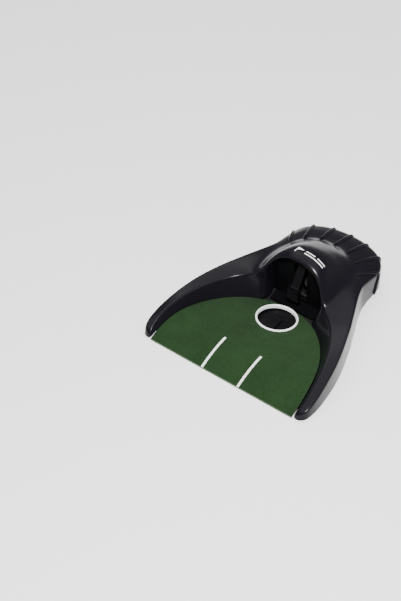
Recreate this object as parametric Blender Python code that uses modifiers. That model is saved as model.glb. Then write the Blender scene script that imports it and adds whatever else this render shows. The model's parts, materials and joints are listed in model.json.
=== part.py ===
"""Automatic putting cup, modelled as an assembly of separate pieces.

All lengths below are in millimetres. X runs to the right, Y from the front edge of the ramp
to the back, Z up from the floor. One empty, putting_cup, carries every piece and shifts the
front-edge frame so that the origin is the centre of the footprint.
"""
import math

import bmesh
import bpy
from mathutils import Matrix, Vector
from mathutils.bvhtree import BVHTree

MM = 0.001

# Driving dimensions
DEPTH = 252.6
WALL = 2.2
GAP = 0.3
SKIRT_Z = 1.0
BASE_LOW = 1.3
BASE_HIGH = 2.9
BASE_INSET = 3.3

FELT_HALF_WIDTH = 96.0
FELT_DEPTH = 129.5
FELT_THICK = 1.2
DECK_THICK = 1.8
DECK_LIP_Z = 0.3
RAMP_START_Z = 2.1
RAMP_TOP_Z = 15.0
RAMP_TOP_Y = 50.0
RAMP_FALL = 4.0
RAMP_FALL_POWER = 1.67

CUP_Y = 104.3
CUP_Z = RAMP_TOP_Z - RAMP_FALL
CUP_TILT = math.radians(-7.0)
BALL_RADIUS = 21.335
RING_INNER = BALL_RADIUS + 0.55
RING_OUTER = 24.2
RING_THICK = 1.6
CUP_HOLE = RING_INNER + 1.05
CUP_FLOOR_Z = 4.4

STRIKE_BOX_Y = 146.0
HAMMER_PIVOT = (155.0, 60.0)
HAMMER_SWING = 22.0
HAMMER_TEETH = 40
SECTOR_TEETH = 16
SECTOR_MODULE = 1.0
TRAIN_MODULE = 0.8
RIM_TEETH = 40
SMALL_TEETH = 12
LARGE_TEETH = 30
PINION_TEETH = 10
SECTOR_DIRECTION = math.radians(-35.0)
COMPOUND_DIRECTION = math.radians(-105.0)
MOTOR_DIRECTION = math.radians(25.0)
SHAFT_RADIUS = 1.5
RUNNING = 0.09
FRAME_LEFT = -14.5
FRAME_RIGHT = 15.5
FRAME_THICK = 2.0

TRIGGER_PIVOT = (72.0, 8.2)
CELL_RADIUS = 7.25
CELL_LENGTH = 50.5
CELL_ROWS = (199.2, 214.6)
CELL_Z = BASE_HIGH + GAP + CELL_RADIUS + 0.2

RIB_RADIUS = 1.9
RIB_LIFT = 0.25

BLACK = (0.012, 0.011, 0.015)


def clear_scene():
    for old in list(bpy.data.objects):
        bpy.data.objects.remove(old)


def new_collection(name):
    collection = bpy.data.collections.new(name)
    bpy.context.scene.collection.children.link(collection)
    return collection


clear_scene()
PARTS = new_collection("putting_cup_parts")
CUTTERS = new_collection("putting_cup_cutters")
ROOT = bpy.data.objects.new("putting_cup", None)
ROOT.location = (0, -DEPTH / 2 * MM, 0)
PARTS.objects.link(ROOT)


def material(name, colour, roughness, metallic=0.0):
    """A plain Principled material."""
    made = bpy.data.materials.new(name)
    made.use_nodes = True
    shader = made.node_tree.nodes["Principled BSDF"]
    shader.inputs["Base Color"].default_value = (*colour, 1)
    shader.inputs["Roughness"].default_value = roughness
    shader.inputs["Metallic"].default_value = metallic
    return made


GLOSS_BLACK = material("gloss_black_plastic", BLACK, 0.25)
MATT_BLACK = material("matt_black_plastic", (0.02, 0.02, 0.022), 0.55)
FELT_GREEN = material("green_felt", (0.03, 0.085, 0.03), 0.95)
WHITE_PLASTIC = material("white_plastic", (0.85, 0.86, 0.85), 0.35)
NYLON = material("dark_nylon", (0.035, 0.035, 0.037), 0.45)
STEEL = material("steel", (0.55, 0.55, 0.56), 0.3, 1.0)
BRASS = material("brass", (0.7, 0.5, 0.2), 0.3, 1.0)
RUBBER = material("rubber", (0.03, 0.03, 0.03), 0.9)
CELL_SLEEVE = material("cell_sleeve", (0.1, 0.12, 0.16), 0.4)
RED_WIRE = material("red_insulation", (0.5, 0.02, 0.02), 0.5)
BLACK_WIRE = material("black_insulation", (0.02, 0.02, 0.02), 0.5)


def add_piece(name, mesh, finish, at=(0, 0, 0)):
    """Link a mesh as a named piece whose origin is at the given place."""
    piece = bpy.data.objects.new(name, mesh)
    mesh.materials.append(finish)
    mesh.shade_smooth()
    mesh.set_sharp_from_angle(angle=math.radians(32))
    PARTS.objects.link(piece)
    piece.parent = ROOT
    piece.location = Vector(at) * MM
    return piece


def mesh_from(bm, name):
    """Turn a millimetre bmesh into a metre mesh."""
    bmesh.ops.scale(bm, vec=(MM, MM, MM), verts=bm.verts)
    mesh = bpy.data.meshes.new(name)
    bm.to_mesh(mesh)
    bm.free()
    return mesh


def box_mesh(low, high):
    bm = bmesh.new()
    size = Vector(high) - Vector(low)
    middle = (Vector(high) + Vector(low)) / 2
    bmesh.ops.create_cube(bm, size=1)
    bmesh.ops.scale(bm, vec=size, verts=bm.verts)
    bmesh.ops.translate(bm, vec=middle, verts=bm.verts)
    return mesh_from(bm, "box")


def box(name, low, high, finish, at=(0, 0, 0)):
    """A block between two corners, given relative to the piece's origin."""
    return add_piece(name, box_mesh(low, high), finish, at)


def cylinder_mesh(radius, start, end, axis, centre=(0, 0), segments=24):
    """A cylinder from start to end along X or Z, about a centre in the other two directions."""
    bm = bmesh.new()
    bmesh.ops.create_cone(bm, cap_ends=True, segments=segments, radius1=radius, radius2=radius,
                          depth=end - start)
    bmesh.ops.translate(bm, vec=(0, 0, (start + end) / 2), verts=bm.verts)
    if axis == "X":
        turn = Matrix(((0, 0, 1), (1, 0, 0), (0, 1, 0)))
        bmesh.ops.transform(bm, matrix=turn.to_4x4(), verts=bm.verts)
        bmesh.ops.translate(bm, vec=(0, centre[0], centre[1]), verts=bm.verts)
    else:
        bmesh.ops.translate(bm, vec=(centre[0], centre[1], 0), verts=bm.verts)
    return mesh_from(bm, "cylinder")


def rod(name, radius, start, end, finish, at=(0, 0, 0), centre=(0, 0), segments=16):
    """A shaft along X."""
    return add_piece(name, cylinder_mesh(radius, start, end, "X", centre, segments), finish, at)


def outline_mesh(outlines, low, high, plane):
    """Extrude closed outlines; the second and later ones are holes. plane is XY or YZ."""
    curve = bpy.data.curves.new("outline", "CURVE")
    curve.dimensions = "2D"
    curve.fill_mode = "BOTH"
    curve.extrude = (high - low) / 2 * MM
    for outline in outlines:
        spline = curve.splines.new("POLY")
        spline.points.add(len(outline) - 1)
        for point, (u, v) in zip(spline.points, outline):
            point.co = (u * MM, v * MM, 0, 1)
        spline.use_cyclic_u = True
    holder = bpy.data.objects.new("outline", curve)
    CUTTERS.objects.link(holder)
    bpy.context.view_layer.update()
    mesh = bpy.data.meshes.new_from_object(holder.evaluated_get(bpy.context.evaluated_depsgraph_get()))
    bpy.data.objects.remove(holder)
    bm = bmesh.new()
    bm.from_mesh(mesh)
    bmesh.ops.remove_doubles(bm, verts=bm.verts, dist=0.000001)
    bmesh.ops.translate(bm, vec=(0, 0, (low + high) / 2 * MM), verts=bm.verts)
    if plane == "YZ":
        turn = Matrix(((0, 0, 1), (1, 0, 0), (0, 1, 0)))
        bmesh.ops.transform(bm, matrix=turn.to_4x4(), verts=bm.verts)
    bmesh.ops.recalc_face_normals(bm, faces=bm.faces)
    bm.to_mesh(mesh)
    bm.free()
    return mesh


def plate(name, outlines, low, high, finish, at=(0, 0, 0), plane="XY"):
    return add_piece(name, outline_mesh(outlines, low, high, plane), finish, at)


def circle(radius, centre=(0, 0), segments=20):
    """Points of a circle in an outline's plane."""
    turns = [2 * math.pi * k / segments for k in range(segments)]
    return [(centre[0] + radius * math.cos(a), centre[1] + radius * math.sin(a)) for a in turns]


def rectangle(low, high):
    return [(low[0], low[1]), (high[0], low[1]), (high[0], high[1]), (low[0], high[1])]


def helper(mesh, at=(0, 0, 0)):
    """A guide solid for a Boolean, kept out of the parts."""
    guide = bpy.data.objects.new("guide", mesh)
    CUTTERS.objects.link(guide)
    guide.parent = ROOT
    guide.location = Vector(at) * MM
    guide.hide_render = True
    guide.display_type = "WIRE"
    return guide


def combine(piece, operation, mesh, at=(0, 0, 0)):
    """Cut a solid out of a piece, or join one to it."""
    step = piece.modifiers.new(operation.lower(), "BOOLEAN")
    step.operation = operation
    step.object = helper(mesh, at)
    return piece


def tube_along(name, points, radius, finish, resolution=2):
    """A closed tube along a list of points."""
    curve = bpy.data.curves.new(name, "CURVE")
    curve.dimensions = "3D"
    curve.bevel_depth = radius * MM
    curve.bevel_resolution = resolution
    curve.use_fill_caps = True
    spline = curve.splines.new("POLY")
    spline.points.add(len(points) - 1)
    for point, place in zip(spline.points, points):
        point.co = (*(Vector(place) * MM), 1)
    piece = bpy.data.objects.new(name, curve)
    curve.materials.append(finish)
    PARTS.objects.link(piece)
    piece.parent = ROOT
    return piece


# ---------------------------------------------------------------- ramp


def felt_half_width(y):
    """Half the width of the felt's half-ellipse at a distance from the front edge."""
    return FELT_HALF_WIDTH * math.sqrt(max(0.0, 1 - (y / FELT_DEPTH) ** 2))


def felt_top(y):
    """Height of the felt: a rounded climb to the crest, then a slow fall to the cup."""
    if y < RAMP_TOP_Y:
        return RAMP_TOP_Z - (RAMP_TOP_Z - RAMP_START_Z) * (1 - y / RAMP_TOP_Y) ** 2
    reach = (y - RAMP_TOP_Y) / (CUP_Y - RAMP_TOP_Y)
    return RAMP_TOP_Z - RAMP_FALL * reach ** RAMP_FALL_POWER


def ramp_layer(name, top, bottom, finish, inset=0.0):
    """One layer of the ramp, a half-ellipse with a round hole, between two height functions."""
    rows = 13
    columns = 10
    bm = bmesh.new()
    bmesh.ops.create_grid(bm, x_segments=columns, y_segments=rows, size=1)
    for vert in bm.verts:
        swing = (vert.co.y + 1) / 2 * math.radians(88.5)
        y = FELT_DEPTH * math.sin(swing)
        x = vert.co.x * (FELT_HALF_WIDTH - inset) * math.cos(swing)
        vert.co = (x, y, top(y))
    lower = bmesh.ops.extrude_face_region(bm, geom=bm.faces[:])
    for vert in (part for part in lower["geom"] if isinstance(part, bmesh.types.BMVert)):
        vert.co.z = bottom(vert.co.y)
    bmesh.ops.recalc_face_normals(bm, faces=bm.faces)
    layer = add_piece(name, mesh_from(bm, name), finish)
    hole = cylinder_mesh(CUP_HOLE, -5, 40, "Z", (0, CUP_Y), 40)
    return combine(layer, "DIFFERENCE", hole)


def build_ramp():
    def deck_top(y):
        return felt_top(y) - FELT_THICK - 0.05

    def deck_bottom(y):
        return max(DECK_LIP_Z, deck_top(y) - DECK_THICK)

    def felt_bottom(y):
        return felt_top(y) - FELT_THICK + 0.25

    ramp_layer("ramp_deck", deck_top, deck_bottom, MATT_BLACK)
    ramp_layer("putting_felt", felt_top, felt_bottom, FELT_GREEN)


def turned(name, profile, finish, at, tilt=0.0, steps=40):
    """A ring or cup turned about Z from a profile that runs down its outer side."""
    bm = bmesh.new()
    verts = [bm.verts.new((r, 0, z)) for r, z in profile]
    for first, second in zip(verts, verts[1:] + verts[:1]):
        bm.edges.new((first, second))
    piece = add_piece(name, mesh_from(bm, name), finish, at)
    piece.rotation_euler = (tilt, 0, 0)
    screw = piece.modifiers.new("turn", "SCREW")
    screw.steps = steps
    screw.render_steps = steps
    screw.use_merge_vertices = True
    screw.merge_threshold = 0.00001
    return piece


def build_cup():
    sleeve = RING_INNER + 0.7
    ring_profile = [(RING_OUTER - 0.6, RING_THICK), (RING_OUTER, RING_THICK - 0.6), (RING_OUTER, 0),
                    (sleeve, 0), (sleeve, -2.6), (RING_INNER, -2.6), (RING_INNER, RING_THICK - 0.6),
                    (RING_INNER + 0.6, RING_THICK)]
    turned("cup_ring", ring_profile, WHITE_PLASTIC, (0, CUP_Y, CUP_Z + GAP), CUP_TILT)

    outer = CUP_HOLE + 1.5
    well = add_piece("cup_well", cylinder_mesh(outer, BASE_HIGH + GAP, 16, "Z", (0, CUP_Y), 40),
                     MATT_BLACK)
    combine(well, "DIFFERENCE", cylinder_mesh(CUP_HOLE, CUP_FLOOR_Z, 20, "Z", (0, CUP_Y), 40))
    slope = Matrix.Rotation(CUP_TILT, 4, "X")
    lid = box_mesh((-40, -40, 0), (40, 40, 30))
    lid.transform(slope)
    below_deck = CUP_Z - FELT_THICK - DECK_THICK - 0.85
    combine(well, "DIFFERENCE", lid, (0, CUP_Y, below_deck))
    slot = box_mesh((-5.5, CUP_Y - outer - 3, CUP_FLOOR_Z + 0.4), (5.5, CUP_Y - 10, 20))
    combine(well, "DIFFERENCE", slot)


# ---------------------------------------------------------------- housing

# Arms, from the tip back: outer shoulder, crest of the rim, foot of the skirt, and the
# distance from the front at which the inner wall meets the felt.
ARM = [
    ((101.6, 1.6, 5.5), (98.6, 2.2, 6.0), (102.0, 0.6), 1.2),
    ((106.8, 4.2, 9.5), (100.2, 7.0, 10.6), (107.2, 2.6), 6.0),
    ((110.2, 10.0, 12.5), (101.2, 13.0, 13.8), (110.8, 8.0), 12.0),
    ((111.0, 20.0, 16.0), (101.0, 21.5, 18.2), (111.7, 20.0), 21.0),
    ((110.2, 34.0, 20.5), (99.4, 34.5, 22.5), (110.9, 34.0), 34.0),
    ((107.4, 53.0, 25.2), (95.8, 51.0, 26.2), (108.0, 53.0), 51.0),
    ((103.6, 72.0, 29.2), (90.3, 68.5, 28.6), (104.3, 72.0), 68.0),
    ((98.0, 91.0, 32.5), (82.8, 85.5, 30.4), (98.6, 91.0), 85.0),
    ((91.2, 109.0, 34.5), (73.2, 102.5, 31.8), (91.8, 109.0), 101.0),
    ((87.4, 119.0, 35.0), (61.5, 117.0, 33.4), (88.0, 119.0), 113.0),
]

# Hump, from the lip of the hood to the rear edge: nine points from the outer shoulder to the
# centre line, and the foot of the skirt below the first.
HUMP = [
    ([(84.0, 127.5, 35.3), (79.0, 127.2, 35.8), (54.0, 126.0, 36.2), (47.6, 126.4, 37.0),
      (41.4, 128.0, 42.0), (37.4, 132.0, 49.5), (30.4, 136.4, 60.0), (17.6, 138.6, 69.2),
      (0, 138.8, 72.8)], (84.6, 127.5)),
    ([(81.5, 132.5, 35.6), (76.7, 132.2, 36.2), (57.5, 131.5, 37.0), (50.4, 131.4, 38.6),
      (44.2, 132.6, 43.6), (40.0, 136.0, 51.4), (32.6, 140.2, 62.8), (18.8, 142.6, 72.6),
      (0, 142.8, 75.6)], (82.0, 132.5)),
    ([(74.8, 147.5, 36.5), (70.2, 147.4, 37.3), (58.0, 146.6, 38.7), (51.6, 146.2, 40.5),
      (45.4, 146.2, 45.0), (38.6, 146.8, 53.4), (29.8, 147.8, 66.2), (17.2, 148.8, 75.0),
      (0, 149.0, 77.0)], (75.3, 147.5)),
    ([(69.6, 158.5, 37.0), (65.2, 158.4, 37.9), (56.6, 158.0, 39.6), (50.4, 157.8, 41.6),
      (44.4, 157.6, 45.8), (37.0, 158.0, 53.0), (27.4, 158.6, 65.8), (15.6, 159.2, 74.4),
      (0, 159.4, 75.4)], (70.1, 158.5)),
    ([(64.3, 170.5, 37.0), (60.6, 170.4, 38.0), (54.4, 170.2, 39.9), (48.8, 170.2, 42.0),
      (43.2, 170.2, 45.6), (35.8, 170.6, 52.0), (26.6, 171.0, 62.0), (14.8, 171.6, 69.4),
      (0, 171.8, 70.8)], (64.8, 170.5)),
    ([(61.2, 179.5, 36.5), (58.0, 179.6, 37.8), (52.4, 180.4, 39.9), (46.6, 181.0, 41.8),
      (40.8, 182.0, 44.2), (34.2, 183.4, 49.0), (25.6, 184.6, 55.8), (14.4, 185.6, 61.4),
      (0, 185.8, 62.8)], (61.5, 179.5)),
    ([(60.2, 184.5, 36.0), (57.2, 185.0, 37.4), (51.0, 186.6, 40.0), (45.2, 188.6, 41.9),
      (39.2, 191.6, 43.8), (32.4, 195.2, 47.4), (23.8, 198.2, 50.8), (13.0, 199.8, 53.4),
      (0, 200.2, 54.2)], (60.1, 184.5)),
    ([(59.7, 190.0, 35.2), (56.9, 190.6, 36.9), (50.6, 192.4, 39.8), (43.6, 196.6, 41.8),
      (36.4, 202.0, 42.8), (28.6, 207.4, 43.2), (19.6, 210.8, 43.4), (10.0, 212.0, 43.5),
      (0, 212.2, 43.6)], (59.2, 190.0)),
    ([(59.6, 198.0, 34.0), (57.6, 199.6, 35.8), (53.6, 204.6, 37.5), (48.4, 212.6, 38.7),
      (41.0, 220.2, 39.3), (32.0, 226.2, 39.6), (21.6, 230.0, 39.8), (10.9, 231.8, 39.9),
      (0, 232.2, 39.9)], (57.8, 198.0)),
    ([(59.6, 203.2, 32.6), (58.8, 206.6, 33.2), (56.6, 213.4, 33.8), (52.0, 222.4, 34.8),
      (44.2, 230.8, 35.5), (34.0, 236.8, 35.9), (22.6, 240.6, 36.1), (11.3, 242.4, 36.1),
      (0, 242.8, 36.1)], (57.4, 203.2)),
    ([(59.4, 208.0, 31.0), (59.6, 213.6, 30.6), (58.5, 221.4, 31.0), (54.1, 230.4, 32.2),
      (46.0, 238.8, 32.9), (35.2, 244.6, 33.3), (23.2, 248.2, 33.5), (11.6, 250.0, 33.5),
      (0, 250.6, 33.5)], (57.2, 208.0)),
]

# Foot of the skirt below the rear edge, from its second point to the centre line.
REAR_FEET = [(57.0, 213.6), (56.6, 221.8), (53.9, 230.2), (46.2, 238.4), (35.4, 244.0),
             (23.1, 247.7), (11.5, 249.9), (0, 250.6)]

# Inside of the hood, from its foot to the crown: the rolled lip, the wall and its back edge.
HOOD_INSIDE = [
    ((39.0, 131.0, 39.5), (35.4, 137.5, 27.0), (33.0, STRIKE_BOX_Y, 9.0)),
    ((35.4, 135.0, 47.6), (34.6, 141.0, 42.0), (34.0, STRIKE_BOX_Y, 36.0)),
    ((28.6, 139.0, 57.4), (28.8, 143.6, 56.0), (29.0, STRIKE_BOX_Y, 54.4)),
    ((16.6, 141.4, 66.0), (16.7, 144.8, 64.8), (16.8, STRIKE_BOX_Y, 63.6)),
    ((0, 141.8, 69.2), (0, 145.0, 68.0), (0, STRIKE_BOX_Y, 66.8)),
]


# Raised ribs of the tail: where each starts below the hood and where it meets the shoulder.
RIBS = [((0, 208.6), (0, 251.0)), ((18.4, 207.6), (22.9, 248.6)), ((33.6, 198.4), (45.8, 240.0)),
        ((45.4, 188.4), (60.6, 220.0))]


def toward(start, end, distance):
    """A point on the way from one point to another, at most a third of the way."""
    start = Vector(start)
    way = Vector(end) - start
    return start + way * min(distance / way.length, 0.34)


def skirt_points(shoulder, foot):
    """Outer wall below a shoulder point: foot, middle and a point just under the shoulder."""
    shoulder = Vector(shoulder)
    foot = Vector((*foot, SKIRT_Z))
    middle = foot.lerp(shoulder, 0.5)
    upper = toward(shoulder, foot, 4.5)
    return [foot, middle, upper]


def bowl_points(crest, meeting_y):
    """Inner wall below a crest point: just inside the crest, middle, and foot beside the felt."""
    foot = Vector((felt_half_width(meeting_y) + 1.4, meeting_y, felt_top(meeting_y) - 0.4))
    crest = Vector(crest)
    inward = (foot - crest).normalized()
    shelf = crest + Vector((inward.x * 3.0, inward.y * 3.0, -2.6))
    if crest.z - foot.z < 8:
        shelf = crest.lerp(foot, 0.35)
    return [shelf, shelf.lerp(foot, 0.55), foot]


def housing_cage():
    """Half of the housing's outer skin, open at the centre plane."""
    bm = bmesh.new()

    def row(points):
        return [bm.verts.new(point) for point in points]

    def skin(first, second):
        for k in range(len(first) - 1):
            bm.faces.new((first[k], first[k + 1], second[k + 1], second[k]))

    top = []
    skirt = []
    bowl = []
    for shoulder, crest, foot, meeting_y in ARM:
        top.append(row([shoulder, toward(shoulder, crest, 5), toward(crest, shoulder, 4), crest]))
        skirt.append(row(skirt_points(shoulder, foot)))
        bowl.append(row(bowl_points(crest, meeting_y)))
    for points, foot in HUMP:
        top.append(row(points))
        skirt.append(row(skirt_points(points[0], foot)))
    for shoulder, foot in zip(HUMP[-1][0][1:], REAR_FEET):
        skirt.append(row(skirt_points(shoulder, foot)))
    bowl.append(row(bowl_points(HUMP[0][0][3], 124.0)))
    for points in HOOD_INSIDE:
        bowl.append(row(points))

    for first, second in zip(top, top[1:]):
        width = min(len(first), len(second))
        skin(first[:width], second[:width])
    edge = [line[0] for line in top] + top[-1][1:]
    for k in range(len(skirt) - 1):
        skin(skirt[k] + [edge[k]], skirt[k + 1] + [edge[k + 1]])
    lip = top[len(ARM)]
    rim = [line[3] for line in top[:len(ARM) + 1]] + lip[4:]
    for k in range(len(bowl) - 1):
        skin([rim[k]] + bowl[k], [rim[k + 1]] + bowl[k + 1])
    nose = skirt[0] + top[0][:1]
    inner = [bowl[0][2], bowl[0][1], bowl[0][0], top[0][3]]
    skin(nose, inner)
    bm.faces.new((top[0][0], top[0][1], top[0][2], top[0][3]))
    bmesh.ops.recalc_face_normals(bm, faces=bm.faces)
    bm.normal_update()
    crown = max(bm.faces, key=lambda face: face.calc_center_median().z)
    if crown.normal.z < 0:
        bmesh.ops.reverse_faces(bm, faces=bm.faces)
    return bm


def build_housing():
    shell = add_piece("upper_housing", mesh_from(housing_cage(), "upper_housing"), GLOSS_BLACK)
    mirror = shell.modifiers.new("mirror", "MIRROR")
    mirror.merge_threshold = 0.00001
    smooth = shell.modifiers.new("smooth", "SUBSURF")
    smooth.levels = 1
    smooth.render_levels = 1
    wall = shell.modifiers.new("wall", "SOLIDIFY")
    wall.thickness = WALL * MM
    wall.offset = -1
    bpy.context.view_layer.update()
    skin = BVHTree.FromObject(shell, bpy.context.evaluated_depsgraph_get())
    for start, end in RIBS:
        for side in ((1,) if start[0] == 0 else (1, -1)):
            route = rib_route(skin, (start[0] * side, start[1]), (end[0] * side, end[1]))
            combine(shell, "UNION", tube_mesh(route, RIB_RADIUS))
    return shell


def rib_route(skin, start, end):
    """Centre line of a rib: over the band behind the hood, round the shoulder, down the wall."""
    start = Vector((*start, 0))
    end = Vector((*end, 0))
    way = (end - start).normalized()
    rays = []
    for k in range(7):
        spot = start.lerp(end - way * 3.0, k / 6)
        rays.append((Vector((spot.x, spot.y, 120)), Vector((0, 0, -1))))
    for height in (30.0, 26.5, 20.0, 11.0, 3.4):
        rays.append((Vector((end.x, end.y, height)) + way * 30, -way))
    route = []
    for place, aim in rays:
        hit, normal, _, _ = skin.ray_cast(place * MM, aim)
        if hit:
            route.append((hit + normal * RIB_LIFT * MM) / MM)
    return route


def tube_mesh(points, radius):
    """A closed tube as a mesh, for joining to another piece."""
    holder = tube_along("rib", points, radius, GLOSS_BLACK)
    bpy.context.view_layer.update()
    mesh = bpy.data.meshes.new_from_object(holder.evaluated_get(bpy.context.evaluated_depsgraph_get()))
    bpy.data.objects.remove(holder)
    bm = bmesh.new()
    bm.from_mesh(mesh)
    bmesh.ops.remove_doubles(bm, verts=bm.verts, dist=0.000001)
    bmesh.ops.recalc_face_normals(bm, faces=bm.faces)
    bm.to_mesh(mesh)
    bm.free()
    return mesh


# ---------------------------------------------------------------- base


def inset_outline(points, distance):
    """Move each point of a closed counter-clockwise outline inwards."""
    moved = []
    for k, point in enumerate(points):
        before = Vector(points[k - 1])
        after = Vector(points[(k + 1) % len(points)])
        way = (after - before).normalized()
        moved.append(tuple(Vector(point) + Vector((-way.y, way.x)) * distance))
    return moved


def base_outline():
    """Footprint of the base plate, inside the skirt and behind the ramp's front edge."""
    feet = [foot for _, _, foot, _ in ARM[3:]] + [foot for _, foot in HUMP] + REAR_FEET
    right = [(107.0, 11.5), (111.2, 14.5)] + feet
    left = [(-x, y) for x, y in reversed(right[:-1])]
    return inset_outline(right + left, BASE_INSET)


FEET = [(-98, 28), (98, 28), (-41, 231), (41, 231)]
SCREWS = [(-92, 62), (92, 62), (-62, 150), (62, 150)]
DOOR_LOW = (-49.0, 191.6)
DOOR_HIGH = (49.0, 222.2)
SWITCH_AT = (-50.0, 170.0)
SWITCH_TRAVEL = 4.0


def build_base():
    hatch = rectangle((DOOR_LOW[0] - 0.5, DOOR_LOW[1] - 0.5), (DOOR_HIGH[0] + 0.5, DOOR_HIGH[1] + 0.5))
    slot = rectangle((SWITCH_AT[0] - 2.6, SWITCH_AT[1] - 5.4), (SWITCH_AT[0] + 2.6, SWITCH_AT[1] + 5.4))
    holes = [circle(1.9, place, 12) for place in SCREWS]
    plate("base_plate", [base_outline(), hatch, slot] + holes, BASE_LOW, BASE_HIGH, MATT_BLACK)
    for number, (x, y) in enumerate(FEET, 1):
        add_piece(f"rubber_foot_{number}", cylinder_mesh(6, 0, BASE_LOW - GAP, "Z", (x, y), 20), RUBBER)
    for number, (x, y) in enumerate(SCREWS, 1):
        head = cylinder_mesh(3, 0.4, BASE_LOW - GAP, "Z", (x, y), 16)
        screw = add_piece(f"base_screw_{number}", head, STEEL)
        combine(screw, "UNION", cylinder_mesh(1.5, 0.8, 13, "Z", (x, y), 12))


def build_battery_bay():
    low = (-53.0, CELL_ROWS[0] - CELL_RADIUS - 1.55)
    high = (53.0, CELL_ROWS[1] + CELL_RADIUS + 1.55)
    floor_z = BASE_HIGH + GAP
    top_z = CELL_Z + CELL_RADIUS + 1.5
    tray = box("battery_box", (*low, floor_z), (*high, top_z), MATT_BLACK)
    hollow = box_mesh((low[0] + 1.2, low[1] + 1.2, floor_z - 2), (high[0] - 1.2, high[1] - 1.2, top_z - 1.2))
    combine(tray, "DIFFERENCE", hollow)
    number = 0
    for y in CELL_ROWS:
        for start in (-CELL_LENGTH - GAP / 2, GAP / 2):
            number += 1
            cell = rod(f"battery_{number}", CELL_RADIUS, start, start + CELL_LENGTH - 1.3, CELL_SLEEVE,
                       centre=(y, CELL_Z), segments=20)
            tip = cylinder_mesh(2.7, start + 40, start + CELL_LENGTH, "X", (y, CELL_Z), 12)
            combine(cell, "UNION", tip)
    middle = sum(CELL_ROWS) / 2
    plates = [("contact_left", -51.5, -51.1, CELL_ROWS[0] - 5, CELL_ROWS[1] + 5),
              ("contact_right_front", 51.1, 51.5, CELL_ROWS[0] - 5, middle - 1),
              ("contact_right_rear", 51.1, 51.5, middle + 1, CELL_ROWS[1] + 5)]
    for name, x0, x1, y0, y1 in plates:
        box(name, (x0, y0, CELL_Z - 5), (x1, y1, CELL_Z + 5), BRASS)
    hinge = (0, DOOR_LOW[1], BASE_LOW)
    size = (DOOR_HIGH[1] - DOOR_LOW[1], BASE_HIGH - BASE_LOW)
    door = box("battery_door", (DOOR_LOW[0], 0, 0), (DOOR_HIGH[0], *size), MATT_BLACK, hinge)
    grip = box_mesh((-12, size[0] - 6, -1), (12, size[0] - 4, 0.6))
    combine(door, "DIFFERENCE", grip)


def build_switch():
    x, y = SWITCH_AT
    box("switch_body", (x - 4, y - 8, BASE_HIGH + GAP), (x + 4, y + 8, BASE_HIGH + 6.5), MATT_BLACK)
    knob = box("switch_knob", (-2, -2.4, -2.3), (2, 2.4, 0.2), WHITE_PLASTIC,
               (x, y - SWITCH_TRAVEL / 2, BASE_HIGH - 0.1))
    return knob


# ---------------------------------------------------------------- kick-back mechanism


def polar(centre, direction, distance):
    return (centre[0] + distance * math.cos(direction), centre[1] + distance * math.sin(direction))


SECTOR_AT = polar(HAMMER_PIVOT, SECTOR_DIRECTION, SECTOR_MODULE * (HAMMER_TEETH + SECTOR_TEETH) / 2)
COMPOUND_AT = polar(SECTOR_AT, COMPOUND_DIRECTION, TRAIN_MODULE * (RIM_TEETH + SMALL_TEETH) / 2)
MOTOR_AT = polar(COMPOUND_AT, MOTOR_DIRECTION, TRAIN_MODULE * (LARGE_TEETH + PINION_TEETH) / 2)


def involute(angle):
    return math.tan(angle) - angle


def tooth_half_angle(teeth, module, radius, backlash=0.16):
    """Half the angle that an involute tooth fills at a radius."""
    pitch = teeth * module / 2
    base = pitch * math.cos(math.radians(20))
    here = math.acos(min(1.0, base / radius))
    half = math.pi / (2 * teeth) - backlash / (2 * pitch)
    return half + involute(math.radians(20)) - involute(here)


def gear_outline(teeth, module, first, chosen=None):
    """Outline of a spur gear, with a tooth centred on the first angle; chosen picks teeth."""
    pitch = teeth * module / 2
    radii = [pitch - 1.2 * module, pitch - 0.4 * module, pitch + 0.3 * module, pitch + 0.9 * module]
    step = 2 * math.pi / teeth
    points = []
    for k in range(teeth):
        centre = first + k * step
        if chosen is not None and k not in chosen:
            for part in (-0.33, 0.0, 0.33):
                points.append(polar((0, 0), centre + part * step, radii[0]))
            continue
        halves = [tooth_half_angle(teeth, module, max(radius, pitch * 0.94)) for radius in radii]
        for radius, half in zip(radii, halves):
            points.append(polar((0, 0), centre - half, radius))
        for radius, half in zip(reversed(radii), reversed(halves)):
            points.append(polar((0, 0), centre + half, radius))
    return points


def wheel(name, layers, finish, at):
    """Gear wheels on one hub: each layer is an outline with its start and end along X."""
    first, *others = layers
    piece = plate(name, [first[0]], first[1], first[2], finish, at, "YZ")
    for outline, start, end in others:
        combine(piece, "UNION", outline_mesh([outline], start, end, "YZ"), at)
    combine(piece, "DIFFERENCE", cylinder_mesh(SHAFT_RADIUS + RUNNING, -30, 30, "X", (0, 0), 16), at)
    return piece


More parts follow.
